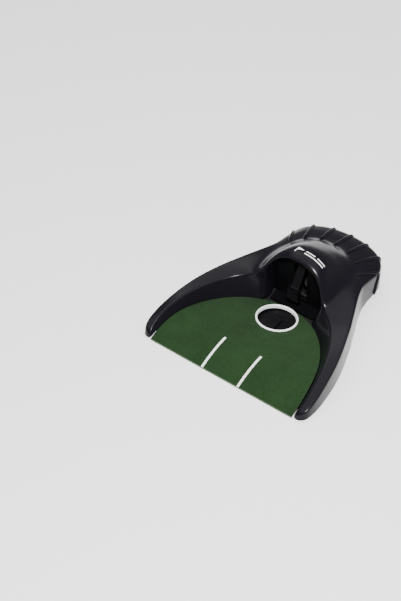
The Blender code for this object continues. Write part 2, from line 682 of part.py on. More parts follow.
def build_gears():
    half_turn = math.pi
    step = 2 * math.pi / SECTOR_TEETH
    sector_first = SECTOR_DIRECTION + half_turn - step / 2
    sector = gear_outline(SECTOR_TEETH, SECTOR_MODULE, sector_first, (0, 1, 2, 3))
    rim_first = COMPOUND_DIRECTION + math.pi / RIM_TEETH
    rim = gear_outline(RIM_TEETH, TRAIN_MODULE, rim_first)
    wheel("sector_gear", [(rim, 3.5, 7.5), (sector, 7.0, 12.4)], NYLON, (0, *SECTOR_AT))
    small = gear_outline(SMALL_TEETH, TRAIN_MODULE, COMPOUND_DIRECTION + half_turn)
    large_first = MOTOR_DIRECTION + math.pi / LARGE_TEETH
    large = gear_outline(LARGE_TEETH, TRAIN_MODULE, large_first)
    wheel("compound_gear", [(large, -2.5, 1.5), (small, 1.0, 8.0)], NYLON, (0, *COMPOUND_AT))
    pinion = gear_outline(PINION_TEETH, TRAIN_MODULE, MOTOR_DIRECTION + half_turn)
    bore = circle(1.3, (0, 0), 12)
    plate("motor_pinion", [pinion, bore], -3.0, 2.0, BRASS, (0, *MOTOR_AT), "YZ")
    rod("motor_shaft", 1.0, -15.6, 2.6, STEEL, (0, *MOTOR_AT), segments=12)
    for name, at in (("hammer_shaft", HAMMER_PIVOT), ("sector_gear_shaft", SECTOR_AT),
                     ("compound_gear_shaft", COMPOUND_AT)):
        rod(name, SHAFT_RADIUS, FRAME_LEFT - 1, FRAME_RIGHT + 1, STEEL, (0, *at))


def build_hammer():
    y, z = HAMMER_PIVOT
    at = (0, y, z)
    hub = cylinder_mesh(4.5, -8.0, 12.4, "X", (0, 0), 20)
    hammer = add_piece("hammer", hub, MATT_BLACK, at)
    arm = [(-3.6, 2.2), (-4.4, -2.6), (-17.0, -26.0), (-19.2, -27.0), (-19.6, -43.5), (-15.8, -43.5),
           (-15.2, -27.5), (3.4, -3.0)]
    combine(hammer, "UNION", outline_mesh([arm], -5.0, 5.0, "YZ"), at)
    face = [(-19.6, -27.0), (-19.6, -43.5), (-16.8, -43.5), (-16.8, -27.0)]
    combine(hammer, "UNION", outline_mesh([face], -8.0, 8.0, "YZ"), at)
    step = 2 * math.pi / HAMMER_TEETH
    quadrant = [(0.0, 1.5)]
    start = SECTOR_DIRECTION - 3 * step
    for k in range(5):
        centre = start + k * step
        for radius, sign in ((18.8, -1), (19.6, -1), (20.3, -1), (20.9, -1),
                             (20.9, 1), (20.3, 1), (19.6, 1), (18.8, 1)):
            half = tooth_half_angle(HAMMER_TEETH, SECTOR_MODULE, radius)
            quadrant.append(polar((0, 0), centre + sign * half, radius))
    quadrant.insert(1, (-3.2, -1.5))
    combine(hammer, "UNION", outline_mesh([quadrant], 8.4, 12.4, "YZ"), at)
    tail = [(-1.5, 3.2), (-1.5, -2.5), (12.0, 0.2), (15.0, 0.8), (15.0, 3.4), (12.0, 3.8)]
    combine(hammer, "UNION", outline_mesh([tail], -8.0, -5.5, "YZ"), at)
    combine(hammer, "UNION", cylinder_mesh(1.0, -12.6, -7.0, "X", (13.0, 2.0), 12), at)
    combine(hammer, "DIFFERENCE", cylinder_mesh(SHAFT_RADIUS + RUNNING, -20, 20, "X", (0, 0), 16), at)
    box("hammer_pad", (-7.5, -22.2, -43.0), (7.5, -19.9, -28.0), RUBBER, at)


def coil_points(radius, turns, start, end, per_turn=8):
    """Points of an upright coil between two heights, with a straight run at each end."""
    x, y, z0 = start
    z1 = end[2]
    points = [(x, y, z0)]
    body_low = z0 + 2.5
    body_high = z1 - 2.5
    count = turns * per_turn
    for k in range(count + 1):
        turn = 2 * math.pi * k / per_turn
        height = body_low + (body_high - body_low) * k / count
        points.append((x + radius * math.cos(turn), y + radius * math.sin(turn), height))
    points.append((x, y, z1))
    return points


def build_spring():
    y, z = HAMMER_PIVOT
    post_z = 30.0
    anchor_y = y + 13.0
    top = z + 2.0 - 1.0 - GAP - 0.4
    points = coil_points(1.5, 8, (-10.8, anchor_y, post_z + 1.2 + GAP + 0.4), (-10.8, anchor_y, top))
    tube_along("hammer_spring", points, 0.4, STEEL)
    rod("spring_post", 1.2, FRAME_LEFT + GAP, -9.0, STEEL, (0, anchor_y, post_z), segments=12)


def build_gear_frames():
    outline = [(153.2, 4.0), (188.0, 4.0), (188.0, 22.0), (195.5, 22.0), (195.5, 44.0), (184.0, 55.0),
               (172.0, 62.5), (162.0, 66.0), (153.2, 66.0)]
    bores = [circle(SHAFT_RADIUS + RUNNING, at, 16) for at in (HAMMER_PIVOT, SECTOR_AT, COMPOUND_AT)]
    spacers = [(157.0, 8.0), (184.0, 8.0), (191.5, 24.5)]
    left = [outline] + bores + [circle(1.6, MOTOR_AT, 16)]
    plate("gear_frame_left", left, FRAME_LEFT - FRAME_THICK, FRAME_LEFT, MATT_BLACK, plane="YZ")
    plate("gear_frame_right", [outline] + bores, FRAME_RIGHT, FRAME_RIGHT + FRAME_THICK, MATT_BLACK,
          plane="YZ")
    for number, place in enumerate(spacers, 1):
        rod(f"frame_spacer_{number}", 2.2, FRAME_LEFT + GAP, FRAME_RIGHT - GAP, MATT_BLACK, centre=place)


def build_motor():
    y, z = MOTOR_AT
    can = box("motor_can", (-39.0, -10.0, -7.4), (-16.9, 10.0, 7.4), STEEL, (0, y, z))
    bevel = can.modifiers.new("round", "BEVEL")
    bevel.width = 3.0 * MM
    bevel.segments = 2
    combine(can, "DIFFERENCE", cylinder_mesh(1.4, -30, -10, "X", (0, 0), 12), (0, y, z))
    cap = box("motor_end_cap", (-42.2, -9.4, -6.8), (-39.3, 9.4, 6.8), WHITE_PLASTIC, (0, y, z))
    return cap


def build_strike_box():
    """Floor and back wall of the recess behind the cup, with a window for the hammer."""
    wall_y = STRIKE_BOX_Y + 1.7
    half = [(36.0, 7.6), (36.8, 36.0), (31.4, 55.0), (18.2, 65.0), (0.0, 68.2)]
    outline = half + [(-x, z) for x, z in reversed(half[:-1])]
    window = rectangle((-9.5, 10.5), (9.5, 58.5))
    back = outline_mesh([outline, window], wall_y, wall_y + 2.0, "XY")
    back.transform(Matrix(((1, 0, 0, 0), (0, 0, 1, 0), (0, 1, 0, 0), (0, 0, 0, 1))))
    back.flip_normals()
    piece = add_piece("strike_box", back, MATT_BLACK)
    tray = [(-31.4, wall_y + 0.9), (-28.9, 131.6), (28.9, 131.6), (31.4, wall_y + 0.9)]
    floor = outline_mesh([tray], 5.2, 6.8, "XY")
    combine(piece, "UNION", floor)
    lower = box_mesh((-31.2, wall_y + 0.2, 5.4), (31.2, wall_y + 1.7, 8.6))
    combine(piece, "UNION", lower)
    return piece


def build_bumper():
    """Post with a rubber sleeve that the hammer's tail rests on."""
    place = (HAMMER_PIVOT[0] + 8.0, HAMMER_PIVOT[1] - 2.8)
    rod("bumper_post", 1.0, FRAME_LEFT + GAP, -4.6, STEEL, centre=place, segments=12)
    sleeve = rod("rest_bumper", 2.0, -8.6, -5.0, RUBBER, centre=place, segments=20)
    return combine(sleeve, "DIFFERENCE", cylinder_mesh(1.05, -20, 0, "X", place, 12))


# ---------------------------------------------------------------- trigger


def build_trigger():
    y, z = TRIGGER_PIVOT
    at = (0, y, z)
    profile = [(-10.0, -0.2), (-10.0, 1.6), (-2.6, 2.6), (2.6, 2.6), (8.5, -0.4), (36.0, -1.0),
               (38.0, -1.6), (38.0, -2.4), (8.0, -2.2), (2.6, -2.4), (-2.6, -2.4)]
    lever = plate("trigger_lever", [profile, circle(1.3, (0, 0), 12)], -4.0, 4.0, MATT_BLACK, at, "YZ")
    rod("trigger_pin", 1.0, -8.6, 8.6, STEEL, at, segments=12)
    for name, side in (("trigger_bracket_left", -1), ("trigger_bracket_right", 1)):
        cheek = [(-3.2, BASE_HIGH + GAP - z), (3.2, BASE_HIGH + GAP - z), (2.4, 2.4), (-2.4, 2.4)]
        start, end = sorted((side * 5.2, side * 7.4))
        plate(name, [cheek, circle(1.3, (0, 0), 12)], start, end, MATT_BLACK, at, "YZ")
    box("leaf_block", (-5, 48.0, BASE_HIGH + GAP), (5, 54.0, 11.3), MATT_BLACK)
    box("leaf_spring", (-3, 54.3, 10.5), (3, 65.0, 10.8), BRASS)
    return lever


def build_wires():
    y, z = MOTOR_AT
    start = (-43.0, y - 3.0, z - 3.0)
    sx, sy = SWITCH_AT
    end = (sx + 1.5, sy + 8.9, BASE_HIGH + 4.0)
    route = [start, (-44.6, y - 4.0, z - 4.5), (-45.6, y - 7.0, z - 9.0), (-46.6, y - 9.5, z - 14.0),
             (-47.8, sy + 11.5, 9.6), end]
    tube_along("wire_motor_to_switch", route, 0.6, RED_WIRE)


clear = [build_ramp, build_cup, build_housing, build_base, build_battery_bay, build_switch, build_gears,
         build_hammer, build_spring, build_gear_frames, build_motor, build_strike_box, build_bumper,
         build_trigger, build_wires]
for build in clear:
    build()
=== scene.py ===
"""Automatic putting cup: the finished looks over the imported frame."""

import json
import math

import bmesh
import bpy
from mathutils import Matrix, Vector
from mathutils.bvhtree import BVHTree


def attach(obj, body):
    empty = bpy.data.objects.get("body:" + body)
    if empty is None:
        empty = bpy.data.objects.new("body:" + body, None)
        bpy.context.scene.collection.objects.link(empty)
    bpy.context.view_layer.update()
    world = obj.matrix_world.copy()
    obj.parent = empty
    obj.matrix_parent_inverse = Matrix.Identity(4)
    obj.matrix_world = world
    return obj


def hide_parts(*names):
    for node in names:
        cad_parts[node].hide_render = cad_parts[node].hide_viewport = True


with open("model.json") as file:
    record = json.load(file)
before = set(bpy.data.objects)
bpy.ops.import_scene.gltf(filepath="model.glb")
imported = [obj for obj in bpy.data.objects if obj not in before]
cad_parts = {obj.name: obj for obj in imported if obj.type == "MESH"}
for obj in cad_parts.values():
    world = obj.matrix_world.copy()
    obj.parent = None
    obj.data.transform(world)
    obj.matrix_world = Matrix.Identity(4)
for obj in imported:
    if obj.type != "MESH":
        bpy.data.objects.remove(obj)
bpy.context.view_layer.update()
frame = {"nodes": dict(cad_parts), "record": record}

MM = 0.001
HALF_DEPTH = 126.3
HOUSING = "housing"

FELT_HALF_WIDTH = 96.0
FELT_DEPTH = 129.5
RAMP_START_Z = 2.1
RAMP_TOP_Z = 15.0
RAMP_TOP_Y = 50.0
RAMP_FALL = 4.0
RAMP_FALL_POWER = 1.67
FELT_THICK = 0.95
CUP_Y = 104.3
CUP_Z = RAMP_TOP_Z - RAMP_FALL
CUP_TILT = math.radians(-7.0)
CUP_HOLE = 22.93
RING_INNER = 21.885
RING_OUTER = 24.2
STRIKE_BOX_Y = 146.0
SKIRT_Z = 1.0
WALL = 2.2
RIB_RADIUS = 1.75
EMBLEM_Y = 153.5
GUIDE_LINE_X = 24.3
GUIDE_LINE_END = 42.5
WELD = 0.0001


def at(x, y, z):
    """Metres in the shared frame from millimetres measured from the ramp's front edge."""
    return Vector((x * MM, (y - HALF_DEPTH) * MM, z * MM))


def placed(bm, name):
    """Put a bmesh into the scene as an object at the origin."""
    mesh = bpy.data.meshes.new(name)
    bm.to_mesh(mesh)
    bm.free()
    thing = bpy.data.objects.new(name, mesh)
    bpy.context.scene.collection.objects.link(thing)
    return thing


# ---------------------------------------------------------------- camera and light


def build_camera():
    data = bpy.data.cameras.new("camera")
    data.lens = 110.87
    data.sensor_width = 36
    data.clip_start = 0.01
    camera = bpy.data.objects.new("camera", data)
    camera.location = at(848.25, -1117.41, 1434.26)
    camera.rotation_euler = (math.radians(46.77), 0, math.radians(38.04))
    bpy.context.scene.collection.objects.link(camera)
    bpy.context.scene.camera = camera


def area_light(name, place, aim, size, power, tint=(1, 1, 1)):
    data = bpy.data.lights.new(name, "AREA")
    data.energy = power
    data.color = tint
    data.size = size
    light = bpy.data.objects.new(name, data)
    light.location = place
    light.rotation_euler = (Vector(aim) - Vector(place)).to_track_quat("-Z", "Y").to_euler()
    bpy.context.scene.collection.objects.link(light)


def build_studio():
    area_light("ceiling", (-0.2, 0.3, 2.2), (-0.2, 0.3, 0), 3.6, 66)
    area_light("key", (-1.02, 0.74, 1.2), (0, 0, 0.02), 0.8, 2, (1, 0.99, 0.97))
    area_light("front_light", (0.62, -0.80, 1.6), (0, 0, 0), 0.16, 64)
    world = bpy.data.worlds.new("studio")
    world.use_nodes = True
    world.node_tree.nodes["Background"].inputs["Color"].default_value = (0.93, 0.94, 0.97, 1)
    world.node_tree.nodes["Background"].inputs["Strength"].default_value = 0.36
    bpy.context.scene.world = world
    bm = bmesh.new()
    bmesh.ops.create_grid(bm, x_segments=1, y_segments=1, size=3)
    floor = placed(bm, "floor")
    floor.data.materials.append(plain_floor())


# ---------------------------------------------------------------- materials


def nodes_of(name):
    made = bpy.data.materials.new(name)
    made.use_nodes = True
    tree = made.node_tree
    return made, tree, tree.nodes["Principled BSDF"]


def plain_floor():
    made, tree, shader = nodes_of("pale_floor")
    shader.inputs["Base Color"].default_value = (0.955, 0.957, 0.96, 1)
    shader.inputs["Roughness"].default_value = 0.85
    return made


def add(tree, kind, **settings):
    node = tree.nodes.new(kind)
    for key, value in settings.items():
        setattr(node, key, value)
    return node


def maths(tree, operation, first, second=None, third=None):
    """A Math node; numbers go on its sockets, anything else is linked."""
    node = add(tree, "ShaderNodeMath", operation=operation)
    for socket, value in zip(node.inputs, (first, second, third)):
        if value is None:
            continue
        if isinstance(value, (int, float)):
            socket.default_value = value
        else:
            tree.links.new(value, socket)
    return node.outputs[0]


def stretch(tree, value, low, high, to_low, to_high):
    node = add(tree, "ShaderNodeMapRange")
    tree.links.new(value, node.inputs["Value"])
    limits = {"From Min": low, "From Max": high, "To Min": to_low, "To Max": to_high}
    for name, number in limits.items():
        node.inputs[name].default_value = number
    return node.outputs["Result"]


def noise(tree, vector, scale, detail=3.0, roughness=0.55):
    node = add(tree, "ShaderNodeTexNoise")
    node.inputs["Scale"].default_value = scale
    node.inputs["Detail"].default_value = detail
    node.inputs["Roughness"].default_value = roughness
    tree.links.new(vector, node.inputs["Vector"])
    return node.outputs["Fac"]


def blend_colour(tree, factor, first, second):
    """Mix two colours by a factor; each is a colour or a socket."""
    node = add(tree, "ShaderNodeMix", data_type="RGBA")
    tree.links.new(factor, node.inputs["Factor"])
    for socket, value in ((node.inputs["A"], first), (node.inputs["B"], second)):
        if isinstance(value, tuple):
            socket.default_value = (*value, 1)
        else:
            tree.links.new(value, socket)
    return node.outputs["Result"]


def moulding_group():
    """Shared wear of moulded and metal pieces: fine grain, slow waviness, dust and rubbed marks."""
    group = bpy.data.node_groups.new("moulding", "ShaderNodeTree")
    for name, kind in (("Vector", "NodeSocketVector"), ("Grain Scale", "NodeSocketFloat"),
                       ("Wave Scale", "NodeSocketFloat")):
        group.interface.new_socket(name, in_out="INPUT", socket_type=kind)
    for name in ("Grain", "Wave", "Dust", "Rub"):
        group.interface.new_socket(name, in_out="OUTPUT", socket_type="NodeSocketFloat")
    start = group.nodes.new("NodeGroupInput")
    end = group.nodes.new("NodeGroupOutput")

    def field(scale_socket, factor, detail):
        node = group.nodes.new("ShaderNodeTexNoise")
        node.inputs["Detail"].default_value = detail
        group.links.new(start.outputs["Vector"], node.inputs["Vector"])
        if scale_socket:
            size = maths(group, "MULTIPLY", start.outputs[scale_socket], factor)
            group.links.new(size, node.inputs["Scale"])
        else:
            node.inputs["Scale"].default_value = factor
        return node.outputs["Fac"]

    group.links.new(field("Grain Scale", 1.0, 2), end.inputs["Grain"])
    group.links.new(field("Wave Scale", 1.0, 1), end.inputs["Wave"])
    specks = stretch(group, field(None, 1900.0, 1), 0.70, 0.78, 0.0, 1.0)
    patches = stretch(group, field(None, 38.0, 3), 0.42, 0.72, 0.0, 1.0)
    group.links.new(maths(group, "MULTIPLY", specks, patches), end.inputs["Dust"])
    group.links.new(stretch(group, field(None, 70.0, 6), 0.5, 0.75, 0.0, 1.0), end.inputs["Rub"])
    return group


MOULDING = moulding_group()


def pennant_mask(tree, spot):
    """A plain printed pennant and dashes on top of the hood."""
    split = add(tree, "ShaderNodeSeparateXYZ")
    tree.links.new(spot, split.inputs["Vector"])
    across = maths(tree, "MULTIPLY", split.outputs["X"], 1000.0)
    along = maths(tree, "MULTIPLY_ADD", split.outputs["Y"], 1000.0, HALF_DEPTH - EMBLEM_Y)

    def within(value, middle, half):
        away = maths(tree, "ABSOLUTE", maths(tree, "SUBTRACT", value, middle))
        return maths(tree, "LESS_THAN", away, half)

    def stripe(middle, half, row, half_row):
        return maths(tree, "MULTIPLY", within(across, middle, half), within(along, row, half_row))

    slope = maths(tree, "MULTIPLY_ADD", maths(tree, "ADD", across, 10.0), -0.31, 2.6)
    flag = maths(tree, "MULTIPLY", within(along, 1.6, slope),
                 maths(tree, "GREATER_THAN", across, -10.0))
    mask = maths(tree, "MAXIMUM", stripe(-10.3, 0.5, -0.4, 4.6), flag)
    for middle, half, row in ((7.0, 6.0, 1.7), (21.0, 5.0, 1.7), (13.5, 12.5, -2.3)):
        mask = maths(tree, "MAXIMUM", mask, stripe(middle, half, row, 0.75))
    high = maths(tree, "GREATER_THAN", split.outputs["Z"], 0.055)
    return maths(tree, "MULTIPLY", mask, high)


def moulded(name, colour, roughness, grain=900.0, depth=0.00004, wave=24.0, wave_depth=0.0,
            metallic=0.0, shade=0.75, rough_swing=0.06, dust=0.0, specular=0.5, emblem=False):
    """Plastic, rubber or metal with grain, slow waviness, colour variation and a little dust."""
    made, tree, shader = nodes_of(name)
    spot = add(tree, "ShaderNodeTexCoord").outputs["Object"]
    group = add(tree, "ShaderNodeGroup", node_tree=MOULDING)
    tree.links.new(spot, group.inputs["Vector"])
    group.inputs["Grain Scale"].default_value = grain
    group.inputs["Wave Scale"].default_value = wave
    darker = tuple(part * shade for part in colour)
    tone = blend_colour(tree, group.outputs["Wave"], darker, colour)
    if dust:
        speck = maths(tree, "MULTIPLY", group.outputs["Dust"], dust)
        tone = blend_colour(tree, speck, tone, (0.45, 0.45, 0.46))
    if emblem:
        tone = blend_colour(tree, pennant_mask(tree, spot), tone, (0.80, 0.81, 0.82))
    tree.links.new(tone, shader.inputs["Base Color"])
    swing = stretch(tree, group.outputs["Rub"], 0.0, 1.0, roughness - rough_swing,
                    roughness + rough_swing)
    tree.links.new(swing, shader.inputs["Roughness"])
    shader.inputs["Metallic"].default_value = metallic
    shader.inputs["Specular IOR Level"].default_value = specular
    height = maths(tree, "MULTIPLY", group.outputs["Grain"], depth * 1000)
    if wave_depth:
        height = maths(tree, "MULTIPLY_ADD", group.outputs["Wave"], wave_depth * 1000, height)
    bump = add(tree, "ShaderNodeBump")
    bump.inputs["Distance"].default_value = 0.001
    bump.inputs["Strength"].default_value = 1.0
    tree.links.new(height, bump.inputs["Height"])
    tree.links.new(bump.outputs["Normal"], shader.inputs["Normal"])
    return made


def felt_finish():
    """Short green felt: matted fibres, brushed patches and two printed white guide lines."""
    made, tree, shader = nodes_of("green_felt")
    spot = add(tree, "ShaderNodeTexCoord").outputs["Object"]
    split = add(tree, "ShaderNodeSeparateXYZ")
    tree.links.new(spot, split.inputs["Vector"])
    patch = stretch(tree, noise(tree, spot, 34, 4, 0.6), 0.32, 0.68, 0.0, 1.0)
    speck = stretch(tree, noise(tree, spot, 420, 3, 0.7), 0.3, 0.72, 0.0, 1.0)
    fibre = stretch(tree, noise(tree, spot, 1500, 2, 0.6), 0.25, 0.75, 0.0, 1.0)
    ground = blend_colour(tree, patch, (0.0042, 0.0165, 0.0036), (0.0096, 0.0330, 0.0074))
    flecked = blend_colour(tree, maths(tree, "MULTIPLY", speck, 0.55), ground,
                           (0.0175, 0.0480, 0.0122))
    dark = blend_colour(tree, maths(tree, "MULTIPLY", fibre, 0.5), flecked, (0.0030, 0.0112, 0.0026))
    ragged = stretch(tree, noise(tree, spot, 900, 2), 0.0, 1.0, -0.00028, 0.00028)
    across = maths(tree, "ABSOLUTE", split.outputs["X"])
    off = maths(tree, "ABSOLUTE", maths(tree, "SUBTRACT", across, GUIDE_LINE_X * MM))
    beside = maths(tree, "LESS_THAN", maths(tree, "ADD", off, ragged), 0.00138)
    ends = maths(tree, "LESS_THAN", maths(tree, "ADD", split.outputs["Y"], ragged),
                 (GUIDE_LINE_END - HALF_DEPTH) * MM)
    line = maths(tree, "MULTIPLY", beside, ends)
    thin = stretch(tree, fibre, 0.0, 1.0, 0.86, 1.0)
    paint = maths(tree, "MULTIPLY", line, thin)
    tone = blend_colour(tree, paint, dark, (0.84, 0.87, 0.83))
    tree.links.new(tone, shader.inputs["Base Color"])
    shader.inputs["Roughness"].default_value = 0.95
    shader.inputs["Specular IOR Level"].default_value = 0.2
    shader.inputs["Sheen Weight"].default_value = 0.03
    shader.inputs["Sheen Roughness"].default_value = 0.5
    nap = maths(tree, "MULTIPLY_ADD", speck, 0.55, maths(tree, "MULTIPLY", fibre, 0.45))
    flat = maths(tree, "MULTIPLY", nap, stretch(tree, line, 0.0, 1.0, 1.0, 0.45))
    bump = add(tree, "ShaderNodeBump")
    bump.inputs["Distance"].default_value = 0.0007
    bump.inputs["Strength"].default_value = 0.8
    tree.links.new(flat, bump.inputs["Height"])
    tree.links.new(bump.outputs["Normal"], shader.inputs["Normal"])
    return made


def cut_felt_highlight_finish():
    """The felt's cut edge, coloured pale and speckled as a painted highlight along it."""
    made, tree, shader = nodes_of("felt_cut_edge_highlight")
    spot = add(tree, "ShaderNodeTexCoord").outputs["Object"]
    speck = stretch(tree, noise(tree, spot, 1300, 3), 0.3, 0.7, 0.0, 1.0)
    # Painted highlight: these pale greens stand for the light line caught along the felt's edge.
    tone = blend_colour(tree, speck, (0.05, 0.10, 0.045), (0.17, 0.23, 0.14))
    tree.links.new(tone, shader.inputs["Base Color"])
    shader.inputs["Roughness"].default_value = 1.0
    return made


GLOSS_BLACK = (0.0050, 0.0046, 0.0070)
GLOSS_WEAR = {"grain": 1400, "depth": 0.000004, "wave": 16, "wave_depth": 0.00005, "shade": 0.8,
              "rough_swing": 0.035, "dust": 0.03, "specular": 0.14}
GLOSS = moulded("gloss_black_plastic", GLOSS_BLACK, 0.24, **GLOSS_WEAR)
PRINTED = moulded("printed_gloss_plastic", GLOSS_BLACK, 0.24, emblem=True, **GLOSS_WEAR)
TEXTURED = moulded("textured_black_plastic", (0.010, 0.010, 0.011), 0.5, grain=1100, depth=0.00006,
                   dust=0.12, specular=0.35)
# Painted shade: the works behind the mouth, in the cup and under the felt are coloured near black to
# stand for the shade they sit in.
PAINTED_SHADE = moulded("painted_shade_inner_plastic", (0.0028, 0.0028, 0.0034), 0.5, grain=800, depth=0.00003,
               dust=0.02, specular=0.1)
FELT = felt_finish()
FELT_EDGE_HIGHLIGHT = cut_felt_highlight_finish()
WHITE = moulded("white_ring_plastic", (0.88, 0.89, 0.88), 0.3, grain=1500, depth=0.000008, shade=0.95,
                rough_swing=0.05)
NYLON = moulded("dark_nylon", (0.03, 0.03, 0.032), 0.42, grain=1000, depth=0.00002, shade=0.8,
                specular=0.3)
STEEL = moulded("plated_steel", (0.58, 0.58, 0.59), 0.3, grain=2200, depth=0.00001, metallic=1.0,
                shade=0.85, rough_swing=0.1)
BRASS = moulded("brass", (0.72, 0.52, 0.22), 0.3, grain=2200, depth=0.00001, metallic=1.0, shade=0.8,
                rough_swing=0.1)
RUBBER = moulded("soft_rubber", (0.022, 0.022, 0.022), 0.8, grain=1300, depth=0.00009, dust=0.3)
CELL = moulded("cell_sleeve", (0.09, 0.11, 0.16), 0.32, grain=1500, depth=0.00001, shade=0.8)
RED = moulded("red_insulation", (0.45, 0.02, 0.015), 0.45, grain=1500, depth=0.00002, shade=0.8)

NODE_FINISHES = {
    "felt": FELT, "white_plastic": WHITE, "nylon": NYLON, "steel": STEEL, "brass": BRASS,
    "rubber": RUBBER, "cell_sleeve": CELL, "red_insulation": RED, "matt_black": TEXTURED,
    "housing_black": GLOSS,
}
# Nodes given the painted shade finish in place of their slot's finish.
PAINTED_SHADE_NODES = {"strike_box", "hammer", "hammer_pad", "cup_well", "trigger_lever", "ramp_deck"}


def dress_nodes():
    """Give every CAD node the finish of its slot; the nodes that sit in shade get the painted shade
    finish instead.
    """
    slots = {entry["node"]: entry["material_slot"] for entry in frame["record"]["subparts"]}
    for name, node in frame["nodes"].items():
        finish = PAINTED_SHADE if name in PAINTED_SHADE_NODES else NODE_FINISHES[slots[name]]
        for slot in node.material_slots:
            slot.material = finish


# ---------------------------------------------------------------- mesh helpers


def piece_from(bm, name, *finishes, slot, body=HOUSING, sharp=32):
    """Finish a millimetre bmesh as a piece that rides on a body."""
    for vert in bm.verts:
        vert.co = at(*vert.co)
    piece = placed(bm, name)
    for finish in finishes:
        piece.data.materials.append(finish)
    piece.data.shade_smooth()
    piece.data.set_sharp_from_angle(angle=math.radians(sharp))
    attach(piece, body)
    return piece


def settled(holder, name):
    """The mesh of an object with its modifiers applied."""
    bpy.context.view_layer.update()
    graph = bpy.context.evaluated_depsgraph_get()
    mesh = bpy.data.meshes.new_from_object(holder.evaluated_get(graph))
    mesh.name = name
    return mesh


def cut_away(blank, tool, self_crossing=False):
    """A new bmesh of the blank with the tool's shape cut out of it; both objects are used up."""
    cut = blank.modifiers.new("cut", "BOOLEAN")
    cut.operation = "DIFFERENCE"
    cut.use_self = self_crossing
    cut.object = tool
    mesh = settled(blank, "cut")
    bpy.data.objects.remove(blank)
    bpy.data.objects.remove(tool)
    bm = bmesh.new()
    bm.from_mesh(mesh)
    return bm


def tidy_skin(bm):
    bmesh.ops.remove_doubles(bm, verts=bm.verts, dist=WELD)
    bmesh.ops.recalc_face_normals(bm, faces=bm.faces)


def turned(profile, steps, closed=False):
    """A profile of radii and heights spun once about Z."""
    bm = bmesh.new()
    verts = [bm.verts.new((radius, 0, height)) for radius, height in profile]
    edges = [bm.edges.new(pair) for pair in zip(verts, verts[1:])]
    if closed:
        edges.append(bm.edges.new((verts[-1], verts[0])))
    bmesh.ops.spin(bm, geom=verts + edges, cent=(0, 0, 0), axis=(0, 0, 1), dvec=(0, 0, 0),
                   angle=2 * math.pi, steps=steps, use_merge=True)
    tidy_skin(bm)
    return bm


def felt_half_width(y):
    return FELT_HALF_WIDTH * math.sqrt(max(0.0, 1 - (y / FELT_DEPTH) ** 2))


def felt_top(y):
    if y < RAMP_TOP_Y:
        return RAMP_TOP_Z - (RAMP_TOP_Z - RAMP_START_Z) * (1 - y / RAMP_TOP_Y) ** 2
    reach = (y - RAMP_TOP_Y) / (CUP_Y - RAMP_TOP_Y)
    return RAMP_TOP_Z - RAMP_FALL * reach ** RAMP_FALL_POWER


# ---------------------------------------------------------------- housing

# Arms from the tip back: outer shoulder, crest, foot of the skirt, and how far back the inner
# wall meets the felt.
ARM = [
    ((101.6, 1.6, 5.5), (98.6, 2.2, 6.0), (102.0, 0.6), 1.2),
    ((106.8, 4.2, 9.5), (100.2, 7.0, 10.6), (107.2, 2.6), 6.0),
    ((110.2, 10.0, 12.5), (101.2, 13.0, 13.8), (110.8, 8.0), 12.0),
    ((111.0, 20.0, 16.0), (101.0, 21.5, 18.2), (111.7, 20.0), 21.0),
    ((110.2, 34.0, 20.5), (99.4, 34.5, 22.5), (110.9, 34.0), 34.0),
    ((107.4, 53.0, 25.2), (95.8, 51.0, 26.2), (108.0, 53.0), 51.0),
    ((103.6, 72.0, 29.2), (90.3, 68.5, 28.6), (104.3, 72.0), 68.0),
    ((98.0, 91.0, 32.5), (82.8, 85.5, 30.4), (98.6, 91.0), 85.0),
    ((91.2, 109.0, 34.5), (73.2, 102.5, 31.8), (91.8, 109.0), 101.0),
    ((87.4, 119.0, 35.0), (61.5, 117.0, 33.4), (88.0, 119.0), 113.0),
]

